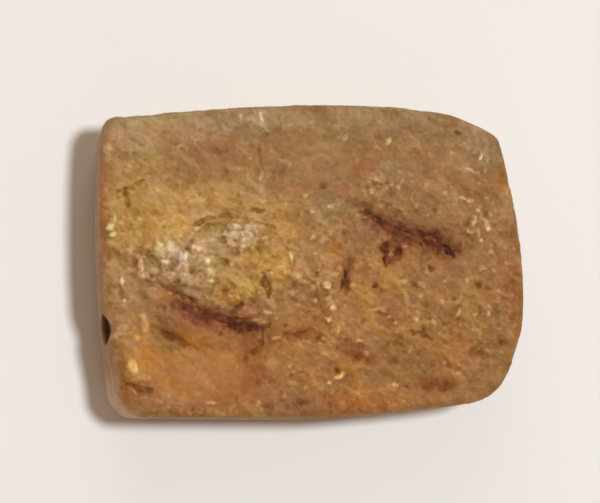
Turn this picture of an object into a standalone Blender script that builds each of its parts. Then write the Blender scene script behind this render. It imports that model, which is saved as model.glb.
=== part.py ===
"""Clay seal: one cushion-shaped block of clay with worn relief pressed into its face.

Metres, +Z up. The block lies on its plain underside at z = 0, its face looks up and its
length runs along X. Points of the outline and of the carving are shares of the half
length (u) and half width (v); depths, widths, radii and the string hole are millimetres.
"""

import math

import bmesh
import bpy
import numpy as np

MM = 0.001

LENGTH = 45.0
WIDTH = 33.0
THICKNESS = 14.5

# The rim stands lower than the middle of the face, which swells a little.
RIM_HEIGHT = 12.5
CROWN = 0.75
RIM_ROUNDING = 0.9
FOOT_ROUNDING = 1.4

# Hand-shaped sides bulge at half height and draw in above and below.
SIDE_WAIST = 0.54
SIDE_DRAW_TOP = 0.25
SIDE_DRAW_FOOT = 1.1

# Radius of each upright corner, by its side in X and in Y.
CORNER_RADIUS = {(-1, 1): 1.7, (1, 1): 2.6, (1, -1): 2.6, (-1, -1): 2.6}

# Each side is widest at one share of its run and draws in towards both ends.
# Widest share, draw at the low end, draw at the high end, power.
LEFT_SIDE = (0.40, 1.8, 0.5, 1.8)
RIGHT_SIDE = (-0.30, 3.1, 3.3, 1.75)
TOP_SIDE = (0.25, 2.0, 1.5, 1.5)
BOTTOM_SIDE = (-0.25, 0.15, 2.3, 1.9)

# The left side leans inwards at its lower end, where it was pressed.
LEAN = 0.8

# The string hole runs along the length, a little below the face.
HOLE_WIDTH = 3.0
HOLE_HEIGHT = 2.8
HOLE_SHARE_Y = -0.43
HOLE_Z = 9.0
HOLE_SIDES = 18

# Swellings and hollows: centre (u, v), half axes in mm, turn in degrees, height in mm.
SWELLS = {
    "worn figure": ((-0.44, -0.06), (9.6, 5.0), -4.0, 1.15),
    "head of the figure": ((-0.36, 0.12), (3.0, 2.0), 0.0, 0.3),
    "lump under it": ((-0.33, -0.32), (1.9, 1.0), -10.0, 0.45),
    "smooth basin": ((-0.50, -0.67), (7.6, 4.8), -3.0, -1.0),
    "ledge beside the basin": ((-0.05, -0.72), (5.0, 3.6), 0.0, -0.3),
    "right mound": ((0.42, -0.22), (8.5, 5.2), 0.0, 0.6),
    "shoulder": ((0.50, 0.44), (8.5, 3.0), -18.0, 0.35),
    "middle hollow": ((0.18, 0.13), (3.0, 3.6), 10.0, -0.4),
    "fall to the lower right": ((0.66, -0.72), (8.0, 4.0), 15.0, -0.3),
    "upper left flat": ((-0.70, 0.45), (7.0, 5.0), 0.0, -0.2),
}

# Lines cut into the face: points (u, v, depth in mm), where a negative depth is a ridge.
# The last two numbers are the reach to the left and to the right of the line, in mm.
LINES = {
    "crevice under the figure": (
        [
            (-0.84, -0.12, 0.0),
            (-0.72, -0.18, 0.45),
            (-0.61, -0.26, 0.8),
            (-0.51, -0.34, 1.1),
            (-0.39, -0.395, 1.4),
            (-0.30, -0.43, 1.4),
            (-0.22, -0.435, 0.7),
            (-0.17, -0.41, 0.0),
        ],
        1.0,
        2.2,
    ),
    "crescent": (
        [
            (0.18, 0.39, 0.0),
            (0.29, 0.29, 0.8),
            (0.39, 0.22, 1.2),
            (0.49, 0.18, 1.3),
            (0.565, 0.165, 1.5),
            (0.625, 0.105, 1.7),
            (0.66, 0.03, 1.0),
            (0.67, -0.03, 0.0),
        ],
        1.0,
        2.4,
    ),
    "upright pit": (
        [
            (0.31, -0.08, 0.0),
            (0.322, -0.02, 1.0),
            (0.335, 0.06, 1.1),
            (0.395, 0.12, 0.7),
            (0.44, 0.14, 0.0),
        ],
        0.9,
        1.5,
    ),
    "left pit": (
        [(0.165, 0.07, 0.0), (0.152, -0.04, 0.6), (0.14, -0.16, 0.95), (0.14, -0.22, 0.0)],
        0.9,
        1.0,
    ),
    "crest": (
        [
            (0.00, 0.24, 0.0),
            (0.03, 0.14, -0.35),
            (0.059, -0.012, -0.45),
            (0.055, -0.19, -0.5),
            (0.073, -0.33, -0.5),
            (0.111, -0.456, -0.4),
            (0.20, -0.55, 0.0),
        ],
        1.5,
        1.1,
    ),
    "left lip": (
        [
            (-0.96, 0.21, 0.0),
            (-0.935, -0.03, -0.25),
            (-0.915, -0.27, -0.35),
            (-0.875, -0.52, -0.4),
            (-0.83, -0.71, -0.35),
            (-0.73, -0.88, 0.0),
        ],
        2.2,
        1.2,
    ),
    "short groove": (
        [
            (-0.16, -0.50, 0.0),
            (-0.11, -0.485, 0.5),
            (-0.05, -0.465, 0.45),
            (0.03, -0.445, 0.0),
        ],
        0.7,
        1.1,
    ),
    "slot": (
        [(-0.25, -0.07, 0.0), (-0.242, -0.13, 0.6), (-0.22, -0.22, 0.6), (-0.205, -0.28, 0.0)],
        0.7,
        0.7,
    ),
    "arc over the figure": (
        [
            (-0.60, 0.07, 0.0),
            (-0.545, 0.21, 0.4),
            (-0.44, 0.285, 0.45),
            (-0.33, 0.28, 0.4),
            (-0.22, 0.235, 0.3),
            (-0.10, 0.14, 0.0),
        ],
        0.9,
        1.1,
    ),
    "olive dent": (
        [(-0.77, -0.42, 0.0), (-0.70, -0.465, 0.45), (-0.61, -0.53, 0.4), (-0.53, -0.57, 0.0)],
        1.0,
        1.1,
    ),
    "right notch": (
        [(0.44, -0.43, 0.0), (0.475, -0.455, 0.45), (0.56, -0.49, 0.0)],
        0.8,
        0.8,
    ),
    "tail crack": (
        [(-0.225, -0.42, 0.7), (-0.24, -0.54, 0.5), (-0.30, -0.62, 0.0)],
        0.7,
        0.8,
    ),
    "gash": (
        [(-0.905, 0.47, 0.0), (-0.885, 0.42, 0.4), (-0.87, 0.35, 0.4), (-0.865, 0.31, 0.0)],
        0.7,
        0.8,
    ),
}

# Cells along the length, the width and the height before the mesh is thinned.
CELLS = (132, 98, 20)
TRIANGLES = 9400

CLAY_COLOUR = (0.38, 0.19, 0.07, 1.0)
CLAY_ROUGHNESS = 0.75


def smooth(low, high, value):
    share = np.clip((value - low) / (high - low), 0.0, 1.0)
    return share * share * (3.0 - 2.0 * share)


def mix(first, second, share):
    return first + (second - first) * share


def clear_scene():
    for found in list(bpy.data.objects):
        bpy.data.objects.remove(found, do_unlink=True)


def new_collection(name):
    made = bpy.data.collections.new(name)
    bpy.context.scene.collection.children.link(made)
    return made


def clay_material():
    made = bpy.data.materials.new("fired clay")
    made.use_nodes = True
    shader = made.node_tree.nodes["Principled BSDF"]
    shader.inputs["Base Color"].default_value = CLAY_COLOUR
    shader.inputs["Roughness"].default_value = CLAY_ROUGHNESS
    return made


def celled_cube():
    """A cube from -1 to 1 on each axis, cut into CELLS."""
    work = bmesh.new()
    bmesh.ops.create_cube(work, size=2.0)
    for axis, count in enumerate(CELLS):
        along = []
        for edge in work.edges:
            run = edge.verts[1].co - edge.verts[0].co
            if abs(run[axis]) > 1.0:
                along.append(edge)
        bmesh.ops.subdivide_edges(work, edges=along, cuts=count - 1, use_grid_fill=True)
    return work


def draw_in(run, side):
    """How far a side stands in from its widest place, in mm."""
    widest, low, high, power = side
    below = np.clip((widest - run) / (1.0 + widest), 0.0, None) ** power
    above = np.clip((run - widest) / (1.0 - widest), 0.0, None) ** power
    return low * below + high * above


def rounded_ring(u, v):
    """Point of the rounded rectangle in the direction (u, v), and its distance to the middle."""
    half_x = LENGTH / 2
    half_y = WIDTH / 2
    ring = np.maximum(np.maximum(np.abs(u), np.abs(v)), 1e-9)
    x = u / ring * half_x
    y = v / ring * half_y
    radius = np.zeros_like(u)
    for (side_x, side_y), value in CORNER_RADIUS.items():
        here = (np.sign(u + 1e-12) == side_x) & (np.sign(v + 1e-12) == side_y)
        radius[here] = value
    core_x = np.clip(x, radius - half_x, half_x - radius)
    core_y = np.clip(y, radius - half_y, half_y - radius)
    out_x = x - core_x
    out_y = y - core_y
    reach = np.maximum(np.hypot(out_x, out_y), 1e-9)
    out_x = out_x / reach
    out_y = out_y / reach
    span = (half_x - radius) * np.abs(out_x) + (half_y - radius) * np.abs(out_y) + radius
    return core_x + out_x * radius, core_y + out_y * radius, span


def round_rims(inward, z):
    """Rolls the sharp upper and lower edge of the block over. Both numbers are in mm."""
    upper = z > RIM_HEIGHT / 2
    radius = np.where(upper, RIM_ROUNDING, FOOT_ROUNDING)
    centre = np.where(upper, RIM_HEIGHT - radius, radius)
    across = radius - inward
    along = np.where(upper, z - centre, centre - z)
    rolled = (across > 0.0) & (along > 0.0)
    reach = np.maximum(np.hypot(across, along), 1e-9)
    new_inward = radius - radius * across / reach
    new_z = np.where(upper, centre + radius * along / reach, centre - radius * along / reach)
    return np.where(rolled, new_inward, inward), np.where(rolled, new_z, z)


def side_draw(z):
    """The sides bulge at the waist. In mm inwards, by height."""
    share = z / RIM_HEIGHT
    above = np.clip((share - SIDE_WAIST) / (1.0 - SIDE_WAIST), 0.0, None) ** 2
    below = np.clip((SIDE_WAIST - share) / SIDE_WAIST, 0.0, None) ** 2
    return SIDE_DRAW_TOP * above + SIDE_DRAW_FOOT * below


def swell_height(x, y, swell):
    (centre_u, centre_v), (half_x, half_y), turn, height = swell
    away_x = x - centre_u * LENGTH / 2
    away_y = y - centre_v * WIDTH / 2
    cos = math.cos(math.radians(turn))
    sin = math.sin(math.radians(turn))
    along = (away_x * cos + away_y * sin) / half_x
    across = (away_y * cos - away_x * sin) / half_y
    return height * (1.0 - smooth(0.25, 1.15, np.hypot(along, across)))


def line_height(x, y, line):
    """Cut of one line: deepest on it, gone at its reach on either hand, narrow where shallow."""
    points, reach_left, reach_right = line
    deepest = max(abs(point[2]) for point in points)
    nearest = np.full_like(x, 1e9)
    found = np.zeros_like(x)
    for first, second in zip(points, points[1:]):
        x0 = first[0] * LENGTH / 2
        y0 = first[1] * WIDTH / 2
        run_x = second[0] * LENGTH / 2 - x0
        run_y = second[1] * WIDTH / 2 - y0
        length = math.hypot(run_x, run_y)
        share = np.clip(((x - x0) * run_x + (y - y0) * run_y) / length**2, 0.0, 1.0)
        away_x = x - x0 - share * run_x
        away_y = y - y0 - share * run_y
        distance = np.hypot(away_x, away_y)
        hand = (run_x * away_y - run_y * away_x) / length
        reach = mix(reach_right, reach_left, smooth(-0.2, 0.2, hand))
        depth = mix(first[2], second[2], share)
        reach = reach * mix(0.35, 1.0, np.abs(depth) / deepest)
        cut = -depth * (1.0 - smooth(0.0, 1.0, distance / reach))
        closer = distance < nearest
        found = np.where(closer, cut, found)
        nearest = np.minimum(nearest, distance)
    return found


def relief(x, y):
    height = np.zeros_like(x)
    for swell in SWELLS.values():
        height = height + swell_height(x, y, swell)
    for line in LINES.values():
        height = height + line_height(x, y, line)
    return height


def shape_block(u, v, w):
    """Takes points of the celled cube to the finished form, in mm."""
    u = u * (1.25 - 0.25 * u * u)
    v = v * (1.25 - 0.25 * v * v)
    w = w * (1.25 - 0.25 * w * w)
    ring = np.maximum(np.abs(u), np.abs(v))
    x, y, span = rounded_ring(u, v)
    inward, z = round_rims((1.0 - ring) * span, (w + 1.0) / 2.0 * RIM_HEIGHT)
    ring = 1.0 - inward / span
    scale = ring * (1.0 - side_draw(z) / span)
    u = x * scale * 2 / LENGTH
    v = y * scale * 2 / WIDTH
    left = -LENGTH / 2 + draw_in(v, LEFT_SIDE)
    right = LENGTH / 2 - draw_in(v, RIGHT_SIDE)
    bottom = -WIDTH / 2 + draw_in(u, BOTTOM_SIDE)
    top = WIDTH / 2 - draw_in(u, TOP_SIDE)
    x = mix(left, right, (1.0 + u) / 2)
    y = mix(bottom, top, (1.0 + v) / 2)
    upper_half = smooth(0.45, 1.0, z / RIM_HEIGHT)
    x = x + LEAN * upper_half * smooth(-0.2, -0.75, v) * smooth(-0.6, -1.0, u)
    on_face = smooth(RIM_HEIGHT - RIM_ROUNDING, RIM_HEIGHT, z)
    carved = relief(x, y) * smooth(0.0, 0.09, 1.0 - ring)
    z = z + on_face * (CROWN * (1.0 - ring**3) + carved)
    return x, y, z


def block_mesh():
    work = celled_cube()
    cube = np.array([vert.co for vert in work.verts])
    places = np.stack(shape_block(cube[:, 0], cube[:, 1], cube[:, 2]), axis=1)
    for vert, place in zip(work.verts, places * MM):
        vert.co = place
    bmesh.ops.triangulate(work, faces=work.faces[:])
    bmesh.ops.recalc_face_normals(work, faces=work.faces[:])
    made = bpy.data.meshes.new("clay block, all cells")
    work.to_mesh(made)
    work.free()
    return made


def fit_to_size(mesh):
    """Stretches the block to its exact length, width and thickness, its underside at z = 0."""
    places = np.array([vert.co for vert in mesh.vertices])
    low = places.min(axis=0)
    size = np.array([LENGTH, WIDTH, THICKNESS]) * MM
    places = (places - low) * size / (places.max(axis=0) - low) - size * [0.5, 0.5, 0.0]
    places[places[:, 2] < 0.02 * MM, 2] = 0.0
    for vert, place in zip(mesh.vertices, places):
        vert.co = place


def thinned(mesh, home):
    """The same surface in fewer triangles, most of them where the face is carved."""
    helper = bpy.data.objects.new("thinning", mesh)
    home.objects.link(helper)
    thin = helper.modifiers.new("Thin", "DECIMATE")
    thin.ratio = TRIANGLES / len(mesh.polygons)
    graph = bpy.context.evaluated_depsgraph_get()
    made = bpy.data.meshes.new_from_object(helper.evaluated_get(graph))
    bpy.data.objects.remove(helper, do_unlink=True)
    bpy.data.meshes.remove(mesh)
    fit_to_size(made)
    return made


def hole_cutter(home):
    """An oval rod along X, longer than the block."""
    work = bmesh.new()
    bmesh.ops.create_cone(
        work,
        cap_ends=True,
        segments=HOLE_SIDES,
        radius1=0.5,
        radius2=0.5,
        depth=1.0,
    )
    y = HOLE_SHARE_Y * WIDTH / 2
    for vert in work.verts:
        across, up, along = vert.co
        vert.co = (
            along * LENGTH * 1.4 * MM,
            (y + across * HOLE_WIDTH) * MM,
            (HOLE_Z + up * HOLE_HEIGHT) * MM,
        )
    bmesh.ops.recalc_face_normals(work, faces=work.faces[:])
    mesh = bpy.data.meshes.new("string hole cutter")
    work.to_mesh(mesh)
    work.free()
    cutter = bpy.data.objects.new("string_hole_cutter", mesh)
    cutter.hide_render = True
    cutter.display_type = "WIRE"
    home.objects.link(cutter)
    return cutter


def build_seal():
    parts = new_collection("clay seal")
    cutters = new_collection("cutters")
    mesh = thinned(block_mesh(), cutters)
    mesh.name = "clay_seal"
    mesh.materials.append(clay_material())
    seal = bpy.data.objects.new("clay_seal", mesh)
    parts.objects.link(seal)
    bore = seal.modifiers.new("String hole", "BOOLEAN")
    bore.operation = "DIFFERENCE"
    bore.solver = "EXACT"
    bore.object = hole_cutter(cutters)


clear_scene()
build_seal()
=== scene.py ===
"""Clay seal, lying on its plain underside: one block of sandy clay with worn relief."""

import math

import bmesh
import bpy
import numpy as np
from mathutils import Matrix, Vector, noise
from mathutils.bvhtree import BVHTree


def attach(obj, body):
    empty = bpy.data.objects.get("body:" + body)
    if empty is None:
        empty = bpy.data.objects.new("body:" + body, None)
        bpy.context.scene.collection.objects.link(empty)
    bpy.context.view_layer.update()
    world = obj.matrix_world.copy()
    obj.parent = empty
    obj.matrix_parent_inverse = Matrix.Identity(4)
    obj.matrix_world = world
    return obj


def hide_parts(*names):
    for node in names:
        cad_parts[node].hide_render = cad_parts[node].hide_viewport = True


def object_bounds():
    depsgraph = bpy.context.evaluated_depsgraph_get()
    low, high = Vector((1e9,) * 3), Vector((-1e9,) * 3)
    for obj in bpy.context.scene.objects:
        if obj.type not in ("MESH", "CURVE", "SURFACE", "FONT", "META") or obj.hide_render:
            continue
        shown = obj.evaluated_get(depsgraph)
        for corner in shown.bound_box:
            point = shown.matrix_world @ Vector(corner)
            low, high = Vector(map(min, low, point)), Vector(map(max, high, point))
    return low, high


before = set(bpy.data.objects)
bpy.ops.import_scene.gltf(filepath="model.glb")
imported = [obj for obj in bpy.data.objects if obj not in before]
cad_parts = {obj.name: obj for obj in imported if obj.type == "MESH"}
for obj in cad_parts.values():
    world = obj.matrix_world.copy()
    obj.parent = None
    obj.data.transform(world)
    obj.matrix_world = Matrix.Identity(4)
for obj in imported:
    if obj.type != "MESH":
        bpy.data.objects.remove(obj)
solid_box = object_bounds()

# The block. A lump of sandy clay, patted into a cushion between the hands, pressed flat
# on a board, and baked hard. A string ran through it lengthwise and left its hole.
# The whole seal is this one piece, so everything below is worked into its surface.

MM = 0.001
PAT_SIZE = 0.455 * MM  # spacing of the points over the sides and the underside
FACE_FROM = 10.9  # height in mm above which the points lie three times as close
FLAT_HALVES = (20.0, 14.0)  # mm; the face inside this rectangle has no rim in it
SOFTENINGS = 3  # passes that take the steps out of the patted surface
SPREADINGS = 60  # passes that spread the points of the face out evenly


def copy_of(node, name):
    """The CAD node's mesh as a new piece, its loose triangles sewn together."""
    mesh = node.data.copy()
    mesh.materials.clear()
    piece = bpy.data.objects.new(name, mesh)
    bpy.context.scene.collection.objects.link(piece)
    work = bmesh.new()
    work.from_mesh(mesh)
    bmesh.ops.remove_doubles(work, verts=work.verts, dist=0.001 * MM)
    work.to_mesh(mesh)
    work.free()
    return piece


def apply_modifiers(piece):
    graph = bpy.context.evaluated_depsgraph_get()
    made = bpy.data.meshes.new_from_object(piece.evaluated_get(graph))
    piece.modifiers.clear()
    piece.data = made


seal = copy_of(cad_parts["clay_seal"], "seal_body")
patted = seal.modifiers.new("Patted clay", "REMESH")
patted.mode = "VOXEL"
patted.voxel_size = PAT_SIZE
apply_modifiers(seal)

work = bmesh.new()
work.from_mesh(seal.data)
for _ in range(SOFTENINGS):
    bmesh.ops.smooth_vert(work, verts=work.verts, factor=0.5, use_axis_x=True,
                          use_axis_y=True, use_axis_z=True)
pressed = [f for f in work.faces if f.calc_center_median().z > FACE_FROM * MM]
edges = {edge for face in pressed for edge in face.edges}
bmesh.ops.subdivide_edges(work, edges=list(edges), cuts=2, use_grid_fill=True)
fresh = [v for v in work.verts if v.co.z > FACE_FROM * MM]
for _ in range(SOFTENINGS):
    bmesh.ops.smooth_vert(work, verts=fresh, factor=0.5, use_axis_x=True,
                          use_axis_y=True, use_axis_z=True)
bmesh.ops.triangulate(work, faces=[f for f in work.faces if len(f.verts) > 4])
bmesh.ops.recalc_face_normals(work, faces=work.faces[:])
surface = BVHTree.FromBMesh(work)
work.to_mesh(seal.data)
work.free()

count = len(seal.data.vertices)
ends = np.empty(len(seal.data.edges) * 2, np.int64)
seal.data.edges.foreach_get("vertices", ends)
first, second = ends.reshape(-1, 2).T
around = np.bincount(first, minlength=count) + np.bincount(second, minlength=count)


def of_each_point(what):
    values = np.empty(count * 3)
    seal.data.vertices.foreach_get(what, values)
    return values.reshape(-1, 3)


def averaged(values, times, moving=None):
    """Each point's value mixed with its neighbours', so many times over."""
    for _ in range(times):
        total = np.bincount(first, weights=values[second], minlength=count)
        total = total + np.bincount(second, weights=values[first], minlength=count)
        mixed = 0.5 * values + 0.5 * total / around
        values = mixed if moving is None else np.where(moving, mixed, values)
    return values


# The points crowd together in the furrows. They are spread out evenly again over the face,
# each dropped straight onto the surface that was there.
place = of_each_point("co")
inward = np.maximum(np.abs(place[:, 0]) - FLAT_HALVES[0] * MM, np.abs(place[:, 1]) - FLAT_HALVES[1] * MM)
facing_up = of_each_point("normal")[:, 2]
moving = (facing_up > 0.3) | (inward < 0.0)
moving = moving & (place[:, 2] > (FACE_FROM - 0.6) * MM) & (facing_up > -0.5)
for axis in (0, 1):
    place[:, axis] = averaged(place[:, axis], SPREADINGS, moving)
for index in np.flatnonzero(moving):
    above = Vector((place[index, 0], place[index, 1], 1.0))
    place[index] = surface.ray_cast(above, Vector((0.0, 0.0, -1.0)))[0]
seal.data.vertices.foreach_set("co", place.ravel())
seal.data.update()
place = of_each_point("co") / MM
normal = of_each_point("normal")


# The unevenness of the clay: slow swells from the hands, lumps of sand, and thin flakes
# that lie mostly aslant and have come away in shallow steps.
# Places are millimetres from the middle of the block, as it lies.

FLAKE_SLANT = -32.0  # degrees; the flakes run down towards the right
HOLE_Y = -7.1  # the string hole runs lengthwise here
HOLE_Z = 9.0


def smooth(low, high, value):
    share = np.clip((value - low) / (high - low), 0.0, 1.0)
    return share * share * (3.0 - 2.0 * share)


def laid(per_mm, seed, stretch):
    """Every point's place in a pattern that is stretched along the flakes."""
    slant = math.radians(FLAKE_SLANT)
    along = place[:, 0] * math.cos(slant) + place[:, 1] * math.sin(slant)
    across = place[:, 1] * math.cos(slant) - place[:, 0] * math.sin(slant)
    at = np.stack((along / stretch, across, place[:, 2]), axis=1)
    return at * per_mm + np.array([seed * 17.3, seed * 5.1, seed * 9.7])


def uneven(per_mm, seed, octaves=1, fading=0.9, stretch=1.0):
    """Soft random values round 0 at every point, with a spread of about a third."""
    at = laid(per_mm, seed, stretch)
    if octaves == 1:
        return np.array([noise.noise(Vector(p)) for p in at])
    return np.array([noise.fractal(Vector(p), fading, 2.1, octaves) for p in at])


def flaked(per_mm, seed, stretch=1.0):
    """A random level from -1 to 1 for each flake, and how near its edge a point is."""
    found = [noise.voronoi(Vector(p)) for p in laid(per_mm, seed, stretch)]
    level = np.array([noise.cell(middles[0] * 7.31) for _, middles in found])
    edge = np.array([far[1] - far[0] for far, _ in found])
    return level, smooth(0.30, 0.0, edge)


slow = uneven(0.16, 1)
slow_too = uneven(0.2, 2)
lumps = uneven(0.55, 3)
lumps_too = uneven(0.6, 4)
sandy = uneven(1.5, 5, 2)
gritty = uneven(2.3, 6)
blotchy = uneven(0.42, 7, 4, 0.2, 1.4)
scabby = uneven(1.1, 11, 2)
drifting = uneven(0.3, 10, 4, 0.4, 1.4)
sheets, sheet_edge = flaked(0.95, 8, 1.9)
scales, scale_edge = flaked(2.0, 9, 1.7)

x = place[:, 0] + 0.22 * lumps + 0.16 * sandy
y = place[:, 1] + 0.22 * lumps_too + 0.22 * gritty
on_face = smooth(FACE_FROM + 0.5, FACE_FROM + 1.6, place[:, 2])
on_face = on_face * smooth(-0.2, 0.3, normal[:, 2])
under = smooth(0.5, 0.1, place[:, 2]) * smooth(-0.7, -0.95, normal[:, 2])
bored = smooth(1.9, 1.6, np.hypot(place[:, 1] - HOLE_Y, place[:, 2] - HOLE_Z))
bored = bored * smooth(11.5, 10.8, place[:, 2])


# The worn picture. A raised figure on the left with a crevice under its belly, a smooth
# hollow below that, and a curved bite with two deep pits on the right.

SMALLEST = 0.2  # mm; a narrower oval would fall between the points of the surface


def spot(middle_x, middle_y, half_long, half_short, turn=0.0, soft=0.5):
    """1 inside an oval on the face, fading to 0 round its rim."""
    half_long = max(half_long, SMALLEST)
    half_short = max(half_short, SMALLEST)
    cos = math.cos(math.radians(turn))
    sin = math.sin(math.radians(turn))
    away_x = x - middle_x
    away_y = y - middle_y
    along = (away_x * cos + away_y * sin) / half_long
    across = (away_y * cos - away_x * sin) / half_short
    return smooth(1.0 + soft, 1.0 - soft, np.hypot(along, across))


ragged = np.clip(1.0 + 0.5 * sandy + 0.5 * gritty, 0.55, 1.4)


def furrow(line):
    """1 along a line of (x, y, reach) points, falling to 0 at the reach, which changes."""
    nearest = np.full(count, 9.0)
    for (x0, y0, reach0), (x1, y1, reach1) in zip(line, line[1:]):
        run_x = x1 - x0
        run_y = y1 - y0
        share = ((x - x0) * run_x + (y - y0) * run_y) / (run_x**2 + run_y**2)
        share = np.clip(share, 0.0, 1.0)
        distance = np.hypot(x - x0 - share * run_x, y - y0 - share * run_y)
        nearest = np.minimum(nearest, distance / (reach0 + share * (reach1 - reach0)))
    return 1.0 - smooth(0.0, 1.0, nearest / ragged)


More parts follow.
